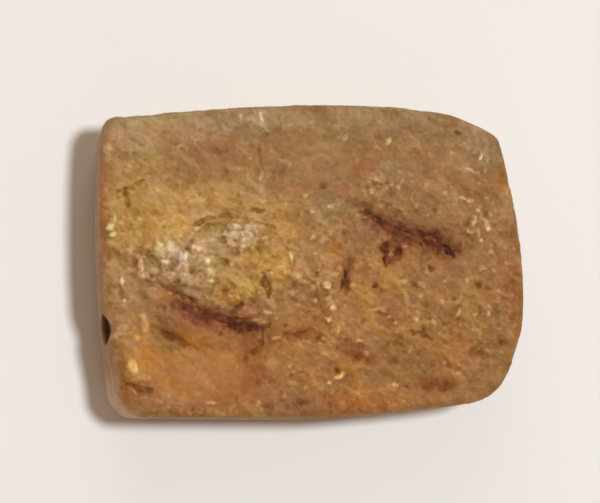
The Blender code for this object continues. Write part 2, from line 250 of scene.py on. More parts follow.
# Furrows: the points of each with its reach there, its depth in mm, and how much darker its floor is
# painted, partly as dark earth and partly as painted shade, on the scale from 0 for the darkest earth and
# shade to 1 for the palest crust.
CUTS = [
    # The crevice under the figure's belly: a broad darkness with no depth of its own, painted shade.
    ([(-14.8, -4.5, 0.8), (-13.6, -4.9, 1.4), (-12.4, -5.6, 1.8), (-11.0, -5.8, 1.7), (-9.8, -6.2, 1.6),
      (-8.6, -6.7, 1.8), (-7.4, -7.0, 1.7), (-6.2, -7.0, 1.2), (-5.2, -7.0, 0.7),
      (-4.7, -6.6, 0.3)], 0.0, 0.125),
    ([(-11.4, -5.4, 0.5), (-10.8, -5.7, 0.7), (-10.0, -6.0, 0.7), (-9.0, -6.5, 0.9), (-8.2, -6.6, 1.0),
      (-7.3, -6.6, 0.8), (-6.2, -6.8, 0.7), (-5.3, -6.9, 0.6)], 0.03, 0.03),
    ([(-8.7, -6.6, 0.8), (-8.6, -5.6, 0.7), (-8.3, -5.0, 0.5), (-7.7, -4.8, 0.3)], 0.2, 0.13),
    ([(-17.2, -1.9, 0.3), (-16.5, -2.4, 0.4), (-15.6, -2.9, 0.4), (-14.6, -3.4, 0.4),
      (-13.6, -3.9, 0.5), (-12.9, -4.2, 0.4), (-12.4, -4.9, 0.4)], 0.12, 0.12),
    ([(-16.4, -5.0, 0.3), (-15.8, -5.1, 0.3)], 0.1, 0.08),
    ([(-15.0, -4.8, 0.45), (-14.3, -4.9, 0.55), (-13.7, -5.0, 0.3)], 0.1, 0.10),
    # The bite: a broad darkness with no depth of its own, painted shade.
    ([(4.5, 5.7, 1.3), (5.9, 4.9, 1.6), (7.0, 4.0, 1.8), (8.2, 3.6, 1.9), (9.4, 3.2, 2.1),
      (10.6, 2.7, 2.1), (11.6, 2.5, 2.2), (12.8, 2.2, 2.4), (13.8, 1.7, 2.0),
      (14.9, 1.1, 1.5)], 0.0, 0.115),
    ([(6.8, 3.8, 0.5), (7.7, 3.5, 0.6), (8.7, 3.1, 0.5)], 0.05, 0.07),
    ([(5.6, 5.3, 0.4), (7.1, 4.4, 0.6), (8.3, 4.1, 0.7), (9.1, 3.9, 0.7), (9.6, 3.5, 0.6)], 0.05, 0.08),
    ([(8.9, 3.9, 0.5), (9.3, 3.4, 0.8), (9.8, 3.0, 0.6)], 0.05, 0.10),
    ([(9.9, 3.4, 0.5), (10.6, 3.3, 0.7), (11.2, 3.1, 0.7), (11.5, 2.6, 0.7),
      (11.6, 1.7, 0.6)], 0.05, 0.09),
    ([(11.5, 3.2, 0.4), (12.3, 3.3, 0.5), (13.0, 3.2, 0.5), (13.6, 2.6, 0.5),
      (14.1, 2.0, 0.6)], 0.05, 0.08),
    ([(13.5, 1.9, 0.5), (14.2, 1.5, 0.8), (14.7, 0.8, 0.8)], 0.15, 0.24),
    ([(9.9, 2.2, 0.4), (10.4, 1.7, 0.5)], 0.05, 0.07),
    ([(12.0, 1.5, 0.5), (13.0, 1.2, 0.6), (14.0, 0.8, 0.6)], 0.0, 0.07),
    ([(7.0, 6.2, 0.3), (7.7, 5.8, 0.4), (8.5, 5.2, 0.4), (9.5, 4.4, 0.45)], 0.12, 0.11),
    ([(11.6, 1.9, 0.7), (11.6, 0.4, 0.8), (11.35, -0.7, 0.5)], 0.05, 0.08),
    ([(7.3, 1.9, 0.5), (7.3, 0.6, 0.65), (7.3, -0.6, 0.5)], 0.15, 0.19),
    ([(7.5, 1.8, 0.7), (8.3, 1.7, 0.9), (9.0, 1.3, 0.6)], 0.05, 0.08),
    ([(7.4, 0.0, 0.7), (8.1, 0.1, 0.8), (8.7, 0.5, 0.7), (9.1, 1.1, 0.5)], 0.15, 0.17),
    ([(3.9, 0.1, 0.7), (3.5, -0.8, 1.2), (3.2, -1.6, 1.0)], 0.1, 0.1),
    ([(3.2, -1.7, 0.8), (3.15, -2.3, 1.2), (3.3, -3.0, 0.9)], 0.15, 0.18),
    ([(-5.7, -1.5, 0.3), (-5.4, -2.3, 0.6), (-5.1, -3.2, 0.65), (-5.0, -4.0, 0.35)], 0.3, 0.13),
    ([(-12.9, 3.4, 0.2), (-12.2, 3.7, 0.35), (-11.4, 4.1, 0.3), (-10.3, 4.3, 0.3), (-9.3, 4.7, 0.35),
      (-8.7, 4.1, 0.2)], 0.2, 0.1),
    ([(-8.0, 4.1, 0.15), (-6.6, 4.2, 0.25), (-5.4, 3.6, 0.35), (-4.2, 3.2, 0.2)], 0.15, 0.08),
    ([(-7.0, 5.1, 0.2), (-6.3, 5.3, 0.45), (-5.6, 5.2, 0.3)], 0.3, 0.17),
    ([(-3.0, -8.1, 0.6), (-2.3, -8.1, 0.8), (-1.4, -7.7, 0.6), (-0.4, -7.7, 0.8),
      (0.4, -7.8, 0.6)], 0.2, 0.09),
    ([(-5.4, -6.9, 0.3), (-5.4, -8.1, 0.4), (-5.6, -8.9, 0.4), (-6.5, -9.6, 0.3)], 0.12, 0.08),
    ([(-15.6, -7.7, 0.4), (-14.6, -8.1, 0.7), (-13.8, -8.7, 0.85), (-13.4, -9.1, 0.4)], 0.15, 0.09),
    ([(-13.4, -9.0, 0.35), (-12.8, -9.1, 0.4), (-12.4, -9.35, 0.3)], 0.1, 0.11),
    ([(-14.0, -9.9, 0.15), (-13.1, -10.6, 0.25), (-12.2, -11.5, 0.15)], 0.12, 0.06),
    ([(-19.9, 7.3, 0.3), (-19.75, 6.5, 0.4), (-19.65, 5.6, 0.3)], 0.25, 0.11),
    ([(-20.8, 7.2, 0.2), (-20.1, 7.1, 0.3), (-19.2, 7.5, 0.3), (-18.7, 7.9, 0.3),
      (-17.9, 8.1, 0.2)], 0.2, 0.08),
    ([(-19.6, 12.3, 0.15), (-18.9, 12.1, 0.3), (-18.0, 11.9, 0.15)], 0.08, 0.08),
    ([(-18.9, 10.8, 0.2), (-18.1, 10.4, 0.25), (-17.5, 10.3, 0.15)], 0.08, 0.07),
    ([(-12.1, 6.8, 0.1), (-11.6, 6.5, 0.2), (-11.0, 6.1, 0.15)], 0.08, 0.1),
    ([(-5.9, 11.6, 0.2), (-5.8, 10.2, 0.25), (-5.5, 8.9, 0.2)], 0.08, 0.05),
    ([(10.3, -7.4, 0.4), (11.3, -7.7, 0.45), (12.4, -8.3, 0.2)], 0.22, 0.12),
    ([(-1.3, -0.8, 0.2), (-1.0, -1.7, 0.35), (-0.2, -2.5, 0.25)], 0.15, 0.08),
    ([(-19.3, -13.0, 0.3), (-18.2, -13.7, 0.5), (-17.0, -13.8, 0.3)], 0.2, 0.1),
    ([(14.0, 3.8, 0.2), (15.1, 3.8, 0.3), (16.0, 2.9, 0.3), (16.8, 2.4, 0.3)], 0.12, 0.08),
    ([(18.3, -2.6, 0.2), (19.4, -3.1, 0.3), (20.5, -3.8, 0.2)], 0.12, 0.07),
    ([(6.0, 8.4, 0.2), (7.0, 8.0, 0.3), (8.0, 8.1, 0.2)], 0.12, 0.08),
    ([(10.2, -2.3, 0.2), (10.7, -2.8, 0.35), (11.4, -3.2, 0.2)], 0.15, 0.13),
]
# Hollows: middle, half length, half width, turn, and how much darker the floor is painted, partly dark
# earth and partly painted shade.
HOLLOWS = [
    (-9.8, 1.7, 0.5, 0.4, 0, 0.16), (-9.3, -0.4, 1.2, 0.4, -20, 0.13), (-8.5, 0.7, 0.9, 0.35, 5, 0.11),
    (-6.9, 0.8, 0.5, 0.45, 0, 0.11), (-10.6, 3.4, 0.8, 0.3, 0, 0.09), (-15.0, -0.8, 0.45, 0.3, 0, 0.14),
    (-16.7, -0.7, 0.3, 0.4, 0, 0.08), (-13.2, 1.6, 0.6, 0.3, 60, 0.1), (-0.8, 4.4, 0.5, 0.7, 20, 0.12),
    (3.5, 6.0, 0.6, 0.55, -40, 0.09), (0.7, 7.8, 0.3, 0.25, 0, 0.09), (2.4, 8.6, 0.4, 0.2, 0, 0.06),
    (-5.2, 13.2, 0.3, 0.35, 0, 0.09), (-8.4, 13.9, 0.3, 0.35, 0, 0.08),
    (-14.3, 8.6, 1.5, 0.8, -25, 0.06), (-15.1, 7.7, 0.6, 0.7, 0, 0.06),
    (-20.3, 10.6, 0.3, 0.4, 0, 0.05), (-17.0, 4.8, 0.45, 0.35, 0, 0.12), (-20.1, 2.9, 0.3, 0.2, 0, 0.1),
    (-21.3, 0.5, 0.5, 0.6, 0, 0.1), (-20.3, -3.7, 0.3, 0.8, 10, 0.09),
    (-13.9, 4.7, 0.6, 0.15, -25, 0.08), (-2.7, 1.8, 0.25, 0.25, 0, 0.1), (2.2, 1.4, 0.6, 0.7, 0, 0.07),
    (6.2, -2.6, 0.25, 0.28, 0, 0.22), (-3.1, -6.8, 0.25, 0.2, 0, 0.1), (-0.5, -5.4, 0.5, 0.2, 0, 0.09),
    (4.4, -9.5, 1.7, 0.8, -22, 0.06), (4.3, -10.5, 0.5, 0.3, 0, 0.09),
    (5.6, -10.8, 0.3, 0.25, -40, 0.1), (2.3, -11.7, 0.25, 0.35, 20, 0.2),
    (-4.3, -12.7, 0.6, 0.2, 15, 0.07), (-1.0, -14.8, 1.2, 0.4, 0, 0.06),
    (1.0, -14.2, 0.15, 0.5, 0, 0.07), (7.0, -5.7, 0.9, 0.18, 0, 0.1), (4.9, -6.4, 0.22, 0.2, 0, 0.1),
    (-4.4, 0.3, 0.3, 0.3, 0, 0.1), (0.3, -1.5, 0.22, 0.25, 0, 0.1), (12.2, -0.7, 0.4, 0.4, 0, 0.15),
    (11.9, 0.5, 0.25, 0.3, 0, 0.1), (15.0, -3.95, 0.45, 0.14, -8, 0.12),
    (14.7, -2.6, 0.7, 0.5, -20, 0.06), (17.4, -2.4, 0.35, 0.28, 0, 0.12),
    (20.0, -8.3, 0.6, 0.4, -10, 0.1), (17.7, -9.6, 0.9, 0.5, 0, 0.07), (13.2, -13.0, 1.8, 0.8, 0, 0.07),
    (9.9, -13.0, 0.3, 0.2, 0, 0.1), (8.2, -10.5, 0.5, 0.4, 0, 0.06), (12.7, -11.3, 0.5, 0.5, 0, 0.06),
    (15.4, 13.7, 0.4, 0.18, -5, 0.13), (17.1, 11.0, 0.6, 0.45, 0, 0.07),
    (17.3, 4.7, 0.25, 0.5, 15, 0.13), (16.6, 6.9, 0.4, 0.25, 0, 0.07), (13.8, 6.1, 0.2, 0.15, 0, 0.1),
    (12.6, 5.4, 0.3, 0.2, -50, 0.08), (12.5, 6.7, 0.5, 0.18, -35, 0.06),
    (19.3, 10.4, 0.5, 0.3, -45, 0.07), (-8.1, -7.4, 1.5, 0.4, -5, 0.07),
    (-9.9, -7.8, 0.2, 0.12, 0, 0.14), (-7.2, -10.6, 0.3, 1.0, -8, 0.08),
    (-6.1, -9.6, 0.9, 0.3, 20, 0.05), (-7.3, -13.0, 0.5, 0.8, 20, 0.05),
    (-16.2, -7.5, 1.1, 0.45, -8, 0.08), (-14.8, -8.3, 1.3, 0.45, -25, 0.05),
    (-14.9, -9.3, 1.0, 0.35, -5, 0.07), (12.9, 2.3, 1.4, 0.8, -30, 0.06),
    (3.5, -0.9, 0.9, 0.45, 70, 0.09), (3.2, -2.4, 0.8, 0.5, 90, 0.12),
    (-8.4, -6.5, 0.6, 0.35, -10, 0.07), (-7.0, -5.75, 0.9, 0.2, -4, 0.06),
    (-13.9, -3.4, 0.7, 0.3, -20, 0.07), (-11.9, -5.9, 1.8, 0.5, -10, 0.05),
    (-7.4, -7.2, 1.8, 0.4, -4, 0.04), (15.3, 1.1, 0.7, 0.6, -20, 0.06),
]
# Crumbs: lumps, scabs of crust and single grains, many of the small bright ones painted glints; middle,
# half length, half width, turn, and how much paler each is than the clay round it.
CRUMBS_AND_GLINTS = [
    (-8.3, 3.2, 0.5, 0.25, -30, 0.22), (-6.9, 2.8, 0.6, 0.6, 0, 0.2), (-9.0, 2.3, 1.1, 0.35, -5, 0.15),
    (-9.1, 1.6, 0.6, 0.3, -30, 0.16), (-7.6, 1.9, 0.5, 0.3, 0, 0.13), (-12.6, 3.0, 0.4, 0.35, 0, 0.14),
    (-12.5, 1.1, 0.6, 0.25, 0, 0.2), (-16.4, 1.4, 0.45, 0.4, 0, 0.18), (-15.9, 0.6, 1.2, 0.5, -5, 0.14),
    (-14.4, 0.5, 0.5, 0.8, 20, 0.15), (-13.7, 0.1, 0.2, 0.6, -10, 0.28),
    (-15.9, -0.4, 0.4, 0.28, 10, 0.28), (-18.3, -0.8, 0.35, 0.75, 5, 0.2),
    (-17.9, -1.8, 0.5, 0.35, -20, 0.2), (-14.0, -1.3, 0.7, 1.1, 15, 0.15),
    (-13.2, -2.3, 0.5, 0.4, 0, 0.13), (-13.1, -3.4, 0.8, 0.35, -20, 0.12),
    (-11.6, -0.4, 0.35, 0.5, 0, 0.28), (-11.3, -1.6, 0.5, 0.55, 0, 0.17),
    (-11.1, -2.5, 0.4, 0.25, 0, 0.22), (-12.5, -2.2, 0.25, 0.3, 0, 0.15),
    (-15.3, -1.7, 0.5, 0.3, 0, 0.1), (-2.6, 0.3, 0.22, 0.6, 12, 0.32), (-3.3, -0.8, 0.6, 0.9, 0, 0.13),
    (-7.4, -5.3, 0.8, 0.3, -5, 0.07), (-7.9, -6.0, 0.2, 0.25, 0, 0.12),
    (-5.2, -5.6, 0.5, 0.22, -20, 0.24), (-20.1, -2.6, 0.2, 0.45, 0, 0.24),
    (-20.0, -4.5, 0.2, 0.22, 0, 0.26), (-20.5, -8.0, 0.35, 0.28, 0, 0.13),
    (-18.7, -8.4, 0.4, 0.35, -30, 0.12), (-20.0, -7.3, 0.4, 0.2, -5, 0.08),
    (-17.8, -6.7, 0.4, 1.1, 12, 0.12), (-18.3, -6.1, 0.5, 0.25, -30, 0.1),
    (-18.9, -11.3, 0.85, 0.36, -60, 0.26), (-18.3, -12.5, 0.7, 0.4, 0, 0.1),
    (-17.3, -12.5, 0.25, 0.3, 0, 0.1), (-17.9, -14.5, 0.4, 0.15, 0, 0.1),
    (-21.1, 4.0, 0.3, 0.35, 0, 0.3), (-21.3, 3.3, 0.3, 0.28, 0, 0.34),
    (-21.1, 2.6, 0.28, 0.28, 0, 0.26), (-21.5, 11.4, 0.3, 0.5, 0, 0.14),
    (-13.8, 11.8, 0.5, 0.25, -35, 0.09), (-12.3, 12.6, 0.8, 0.15, 0, 0.06),
    (-6.9, 10.5, 0.22, 0.2, 0, 0.15), (-16.3, 10.4, 0.2, 0.2, 0, 0.08),
    (-10.7, 10.9, 0.18, 0.16, 0, 0.09), (-5.9, 8.5, 0.18, 0.28, 0, 0.2),
    (-5.6, 14.8, 0.16, 0.5, 10, 0.2), (-6.8, 14.7, 0.5, 0.2, 0, 0.1), (-5.1, 13.6, 0.3, 0.2, -30, 0.13),
    (-2.6, 14.3, 0.4, 0.15, 0, 0.09), (-0.4, 14.5, 0.4, 0.16, 15, 0.13), (3.3, 13.0, 0.3, 0.3, 0, 0.12),
    (7.8, 12.6, 0.5, 0.25, 60, 0.24), (4.5, 12.1, 0.6, 0.2, -30, 0.05), (-5.6, 6.2, 0.35, 0.3, 0, 0.13),
    (-1.0, 6.8, 0.3, 0.25, -30, 0.12), (-3.0, 5.8, 0.2, 0.2, 0, 0.17), (-6.85, 5.1, 0.16, 0.15, 0, 0.2),
    (-0.4, 5.0, 0.35, 0.2, 0, 0.16), (1.6, 5.7, 0.45, 0.17, -5, 0.17), (-0.3, 2.3, 0.25, 0.2, 0, 0.2),
    (6.0, 7.3, 0.28, 0.3, 0, 0.14), (6.7, 7.0, 0.3, 0.15, 0, 0.1), (7.4, 8.5, 0.2, 0.25, 0, 0.1),
    (8.1, 8.0, 0.2, 0.3, 20, 0.12), (8.8, 7.8, 0.25, 0.28, 0, 0.2), (9.1, 8.4, 0.18, 0.2, 0, 0.1),
    (11.7, 8.0, 0.25, 0.16, 0, 0.1), (13.8, 7.1, 0.3, 0.25, 0, 0.18), (10.7, 5.8, 0.25, 0.25, 0, 0.09),
    (11.9, 4.95, 0.18, 0.22, 0, 0.1), (9.4, 4.9, 0.25, 0.15, 0, 0.12), (16.5, 6.4, 0.4, 0.25, 0, 0.15),
    (18.3, 6.8, 0.18, 0.25, 0, 0.15), (14.7, 11.6, 0.3, 0.14, -45, 0.1),
    (17.8, 11.2, 0.2, 0.32, 0, 0.32), (17.35, 9.5, 0.3, 0.2, -18, 0.2), (18.2, 9.9, 0.2, 0.3, 8, 0.1),
    (16.3, 12.3, 0.5, 0.18, -40, 0.08), (16.8, 3.9, 0.25, 0.4, 15, 0.22),
    (18.4, 4.0, 0.22, 0.35, 0, 0.22), (17.5, 3.2, 0.3, 0.4, 20, 0.14),
    (18.9, 1.1, 0.3, 0.35, -40, 0.15), (19.6, 2.1, 0.5, 0.2, -20, 0.07),
    (17.8, -0.6, 0.4, 0.3, 0, 0.14), (12.3, 2.8, 0.3, 0.16, 20, 0.14), (9.6, 1.5, 0.25, 0.2, 0, 0.2),
    (11.8, -0.9, 0.12, 0.5, 0, 0.11), (9.5, -2.2, 0.4, 0.28, -20, 0.16),
    (11.3, -2.5, 0.5, 0.35, -10, 0.1), (9.4, -3.9, 0.25, 0.4, 15, 0.08),
    (13.6, -4.3, 0.3, 0.15, 0, 0.11), (17.2, -5.5, 0.18, 0.15, 0, 0.18),
    (18.6, -5.4, 0.25, 0.25, 0, 0.23), (12.6, -6.3, 0.35, 0.25, 0, 0.15),
    (8.5, -6.6, 0.3, 0.22, 0, 0.14), (9.9, -9.3, 0.6, 0.4, -20, 0.08),
    (18.5, -9.2, 0.3, 0.2, -30, 0.12), (15.5, -11.8, 0.3, 0.2, 0, 0.15),
    (8.5, -13.1, 0.4, 0.35, 0, 0.17), (16.3, -1.8, 0.2, 0.18, 0, 0.12), (-5.1, -0.7, 0.35, 0.3, 0, 0.1),
    (-2.1, 1.4, 0.6, 0.15, -35, 0.1), (-0.1, 0.6, 0.25, 0.16, 0, 0.2), (0.5, -1.0, 0.25, 0.18, 0, 0.14),
    (2.3, -1.1, 0.28, 0.28, 0, 0.2), (1.3, -2.6, 0.3, 0.45, 30, 0.28), (0.6, -2.3, 0.35, 0.2, 0, 0.12),
    (1.3, -4.0, 0.25, 0.3, 0, 0.18), (0.0, -4.2, 0.22, 0.25, 0, 0.14), (1.9, -5.1, 0.3, 0.4, 10, 0.32),
    (1.4, -6.2, 0.35, 0.2, 0, 0.28), (2.4, -7.4, 0.16, 0.35, 0, 0.15), (4.1, -2.8, 0.28, 0.25, 0, 0.19),
    (4.6, -8.5, 0.55, 0.2, -5, 0.17), (-4.1, -8.3, 0.4, 0.16, 0, 0.2),
    (2.6, -12.1, 0.5, 0.35, 30, 0.26), (1.6, -12.9, 0.28, 0.26, 0, 0.32),
    (-1.3, -12.0, 0.25, 0.2, 0, 0.1), (-1.0, -13.3, 0.22, 0.22, 0, 0.11),
    (6.8, -5.2, 1.1, 0.3, 5, 0.09), (-10.5, -13.6, 0.5, 0.2, -10, 0.04),
    (-10.8, -14.9, 0.5, 0.2, 0, 0.18), (12.1, 2.7, 0.4, 0.3, 35, 0.14),
    (8.1, 0.8, 0.45, 0.35, 20, 0.16), (-6.0, -6.25, 0.9, 0.22, -12, 0.16),
    (-10.3, -6.6, 0.6, 0.2, -25, 0.1), (-5.6, -8.2, 0.2, 0.3, 0, 0.1),
    (17.2, 11.7, 0.22, 0.22, 10, 0.06), (16.7, 9.75, 0.4, 0.2, -25, 0.22),
    (18.5, 11.0, 0.22, 0.25, 0, 0.07), (16.4, 12.1, 0.22, 0.22, 0, 0.1),
    (17.0, 4.4, 0.22, 0.4, 10, 0.3), (17.3, 5.3, 0.25, 0.25, 0, 0.22), (18.5, 3.6, 0.22, 0.35, 0, 0.28),
    (16.3, 3.3, 0.22, 0.25, 0, 0.2), (17.9, 2.3, 0.25, 0.3, 10, 0.22), (15.9, 6.6, 0.3, 0.22, 0, 0.2),
]

RIDGE_PER_TONE = 0.6  # mm that a crumb stands up, for a tone one whole step paler
SINK_PER_TONE = 1.1  # mm that a hollow sinks, for a tone one whole step darker
# This limit holds for the painted shade in furrows and recesses as well as for the deepest earth.
DARKEST = 0.45  # how much darker than plain clay the deepest earth gets
NEAR_PASSES = 12  # averaging over about a grain's width
WIDE_PASSES = 90  # averaging over about a furrow's width

# The furrows of the block are rounder and shallower where the picture's deep shadows lie.
SOFTENED = [
    [(-15.5, -3.6, 1.6), (-11.8, -5.4, 2.6), (-8.6, -6.5, 2.8), (-5.2, -7.2, 2.0)],
    [(4.6, 6.0, 1.6), (7.5, 4.3, 2.4), (11.0, 3.0, 2.8), (13.6, 2.2, 2.8), (15.0, -0.2, 2.0)],
    [(7.2, -1.2, 1.4), (7.5, 0.8, 1.8), (9.4, 2.2, 1.6)],
    [(3.7, 1.0, 1.2), (3.4, -1.0, 1.6), (3.2, -3.4, 1.4)],
]
softened = np.clip(1.6 * sum(furrow(line) for line in SOFTENED), 0.0, 1.0)
depth = softened * (averaged(place[:, 2], WIDE_PASSES) - place[:, 2])
shade_and_dark_earth = np.zeros(count)
broken = np.clip(1.0 + 1.2 * sandy + 0.8 * gritty, 0.1, 1.6)
for line, deep, dark in CUTS:
    cut = smooth(0.05, 0.65 if deep else 1.0, furrow(line))
    depth = depth - deep * cut
    shade_and_dark_earth = shade_and_dark_earth + dark * cut * (0.45 + 0.55 * broken)
for *oval, dark in HOLLOWS:
    sunken = spot(*oval, 0.55)
    depth = depth - SINK_PER_TONE * dark * sunken
    shade_and_dark_earth = shade_and_dark_earth + dark * sunken * (0.35 + 0.65 * broken)

crumbs_and_glints = np.zeros(count)
for *oval, pale in CRUMBS_AND_GLINTS:
    pale_spot = spot(*oval, 0.45)
    crumbs_and_glints = np.maximum(crumbs_and_glints, pale * pale_spot * np.clip(0.55 + 0.45 * broken, 0.0, 1.25))

# Loose grains too small to place one by one, the pale ones partly painted glints: the middle of each patch,
# its halves, its turn, and how many lie there.
GRAIN_PATCHES = [
    (1.3, -1.2, 1.2, 5.6, 4, 26), (2.2, -7.4, 1.0, 2.2, 30, 8), (7.0, 7.6, 2.6, 1.0, -5, 14),
    (17.4, 4.0, 1.6, 3.6, -15, 16), (17.5, -0.4, 1.0, 2.0, 0, 8), (-0.6, 5.6, 2.6, 1.6, 0, 10),
    (-14.0, -0.4, 4.6, 2.0, -12, 34), (-8.5, 1.4, 3.6, 2.4, 0, 26), (10.5, -3.2, 4.0, 2.6, 0, 14),
    (7.0, -8.0, 5.0, 2.6, 0, 14), (12.0, -6.0, 8.0, 8.0, 0, 30), (0.0, 10.0, 19.0, 4.5, 0, 26),
    (-16.0, 4.0, 5.0, 5.0, 0, 14), (-4.0, -11.0, 3.6, 4.0, 0, 12), (-3.0, -2.0, 3.0, 3.0, 0, 16),
]
GRAIN_SEED = 41
GRAIN_PALER = 0.15  # how much paler the palest grain is
GRAIN_DARKER = 0.13  # how much darker one at level -1 would be
GRAIN_SINK = 0.15  # mm that it would lie below the clay
GRAIN_SPREAD = 0.5  # how far most lie from the middle of their patch, in its half lengths

chance = np.random.default_rng(GRAIN_SEED)
for middle_x, middle_y, half_long, half_short, turn, many in GRAIN_PATCHES:
    slope = math.radians(turn)
    for _ in range(many):
        off_u, off_v = np.clip(chance.normal(0.0, GRAIN_SPREAD, 2), -1.3, 1.3) * (half_long, half_short)
        grain_x = middle_x + off_u * math.cos(slope) - off_v * math.sin(slope)
        grain_y = middle_y + off_u * math.sin(slope) + off_v * math.cos(slope)
        width = chance.uniform(0.2, 0.3)
        length = width * chance.uniform(1.0, 1.8)
        grain_and_glint = spot(grain_x, grain_y, length, width, chance.uniform(-90.0, 90.0), 0.5)
        level = chance.uniform(-0.5, 1.0)
        if level < 0.0:
            depth = depth + GRAIN_SINK * level * grain_and_glint
            shade_and_dark_earth = shade_and_dark_earth - GRAIN_DARKER * level * grain_and_glint
        else:
            crumbs_and_glints = np.maximum(crumbs_and_glints, GRAIN_PALER * level * level * grain_and_glint + 0.02 * grain_and_glint)
depth = depth + RIDGE_PER_TONE * crumbs_and_glints * (1.0 - np.clip(3.0 * shade_and_dark_earth, 0.0, 0.6))

# Where the clay was left smooth, and where it is crusted, which is most uneven.
basin = spot(-11.6, -10.9, 7.2, 4.4, -3, 0.25)
crusted = spot(-14.2, -0.4, 4.6, 2.0, -12, 0.35)
crusted = np.maximum(crusted, spot(-8.4, 2.2, 2.4, 1.5, 0, 0.4))
crusted = np.maximum(crusted, 0.8 * spot(-11.4, -0.9, 1.2, 2.2, 0, 0.4))
figure = spot(-9.5, -0.6, 9.0, 4.8, -4, 0.35)
crest = np.maximum(0.7 * spot(1.4, -2.5, 1.6, 6.5, 4, 0.5), 0.6 * spot(17.6, 3.5, 2.0, 5.0, -10, 0.5))
crest = np.maximum(crest, 0.5 * spot(6.8, 7.8, 3.0, 1.2, -5, 0.5))
calm_top = spot(-2.0, 12.0, 21.0, 4.5, 0, 0.4)
lively = 1.0 + 0.5 * figure - 0.1 * crusted - 0.35 * basin - 0.12 * calm_top
lively = lively * (1.0 + 0.3 * slow)

scabs = smooth(0.0, 0.3, scabby)
gaps = smooth(-0.15, -0.45, scabby)
depth = depth + lively * (0.05 * sheets + 0.03 * scales + 0.08 * blotchy + 0.03 * gritty)
depth = depth - lively * (0.02 * sheet_edge + 0.01 * scale_edge)
depth = depth + crusted * (0.09 * scabs - 0.07 * gaps + 0.05 * np.abs(sandy))
depth = depth + 0.10 * slow_too + 0.03 * lumps

# Everything that was worked into the face goes straight up or down.
# The sides stay inside the block's own length and width, and the underside stays flat.
RIM_CRISPNESS = 0.25  # mm that the rim stands out again after the smoothing
LIP_WEAR = 0.3  # mm that the string has worn off the lip of its hole
LIP_Z = 9.6  # mm up to the middle of the worn lip
LIP_SQUEEZE = 0.65  # how wide the worn lip is for its height
WEAR_LIMITS = (-0.16, 0.2)  # mm that the sides may stand out or lie back
SHARP_CORNER = (-21.6, 15.6)  # the corner that was never rubbed round
CORNER_CRISPNESS = 0.3  # mm that it stands out along each side
WORN_CORNER = (0.412, 0.911)  # the way that the corner worn to a short straight edge faces
WORN_TO = 20.27  # mm from the middle to that edge
EDGE_LEFT = 0.1  # mm that is left standing beyond it
HEADROOM = 0.35  # mm below the block's top where the face begins to be held down
TOP_LEFT = 0.3  # mm of what lies above that which is left


def pushed_back(beyond, left):
    """How far back a point goes that lies beyond a limit, up to left mm of it staying."""
    beyond = np.clip(beyond, 0.0, None)
    return beyond - left * (1.0 - np.exp(-beyond / left))


centred = place.copy()
centred[:, 2] += on_face * depth
worn = 0.07 * slow_too + 0.05 * lumps + 0.04 * sandy + 0.05 * blotchy - 0.10
rest = (1.0 - on_face) * (1.0 - under) * (1.0 - bored)
lip = smooth(1.8, 1.2, np.hypot(place[:, 1] - HOLE_Y, LIP_SQUEEZE * (place[:, 2] - LIP_Z)))
lip = lip * smooth(-20.65, -21.0, place[:, 0]) * (1.0 - bored)
hole_mouth_shade = np.maximum(smooth(0.0, 0.5, lip), bored)
centred -= normal * (rest * np.clip(worn, *WEAR_LIMITS))[:, None]
centred -= normal * (LIP_WEAR * lip)[:, None]
sideways = np.hypot(normal[:, 0], normal[:, 1])
rim = smooth(8.5, 10.5, place[:, 2]) * smooth(0.15, 0.5, sideways) * (1.0 - bored) * (1.0 - lip)
centred[:, :2] += RIM_CRISPNESS * rim[:, None] * normal[:, :2] / np.maximum(sideways, 0.01)[:, None]
from_corner = np.hypot(place[:, 0] - SHARP_CORNER[0], place[:, 1] - SHARP_CORNER[1])
crisp = CORNER_CRISPNESS * smooth(2.4, 0.5, from_corner) * smooth(7.0, 10.0, place[:, 2])
centred[:, 0] -= crisp
centred[:, 1] += crisp
lost = centred[:, 0] * WORN_CORNER[0] + centred[:, 1] * WORN_CORNER[1] - WORN_TO + 0.05 * lumps
lost = pushed_back(lost * smooth(2.0, 5.0, place[:, 2]), EDGE_LEFT)
centred[:, 0] -= WORN_CORNER[0] * lost
centred[:, 1] -= WORN_CORNER[1] * lost
low_corner, high_corner = (np.array(corner) / MM for corner in solid_box)
centred = np.clip(centred, low_corner, high_corner)
flat = under > 0.5
centred[flat, 2] = 0.0
centred[:, 2] -= pushed_back(centred[:, 2] - (high_corner[2] - HEADROOM), TOP_LEFT)

seal.data.vertices.foreach_set("co", (centred * MM).ravel())
seal.data.update()
seal.data.polygons.foreach_set("use_smooth", [True] * len(seal.data.polygons))

# How sunken each point stands against the clay round it: recesses are darkened with painted shade and some
# settled earth, and what stands proud is made paler.
height = centred[:, 2]
sunk_near = averaged(height, NEAR_PASSES) - height
sunk_wide = averaged(height, WIDE_PASSES) - height
sunk_shade_and_dirt = np.clip(0.35 * sunk_near, -0.05, 0.1) + np.clip(0.16 * sunk_wide, -0.04, 0.16)
sunk_shade_and_dirt = sunk_shade_and_dirt * (1.0 - 0.75 * softened)

tone = 0.5 + lively * (0.058 * blotchy + 0.028 * sheets + 0.022 * scales + 0.012 * sandy)
tone = tone - lively * (0.008 * sheet_edge + 0.004 * scale_edge)
tone = tone + crusted * (0.04 * scabs - 0.035 * gaps)
tone = tone + 0.03 * slow + 0.03 * lumps
# Painted shade and dark earth in furrows, pits and recesses darken the tone; crumbs, pale grains and
# painted glints make it paler.
darker = 0.95 * shade_and_dark_earth + np.clip(sunk_shade_and_dirt, 0.0, None)
tone = tone + 1.15 * crumbs_and_glints - DARKEST * (1.0 - np.exp(-darker / DARKEST)) - np.clip(sunk_shade_and_dirt, None, 0.0)
side = 1.0 - smooth(FACE_FROM + 0.2, FACE_FROM + 1.4, place[:, 2])


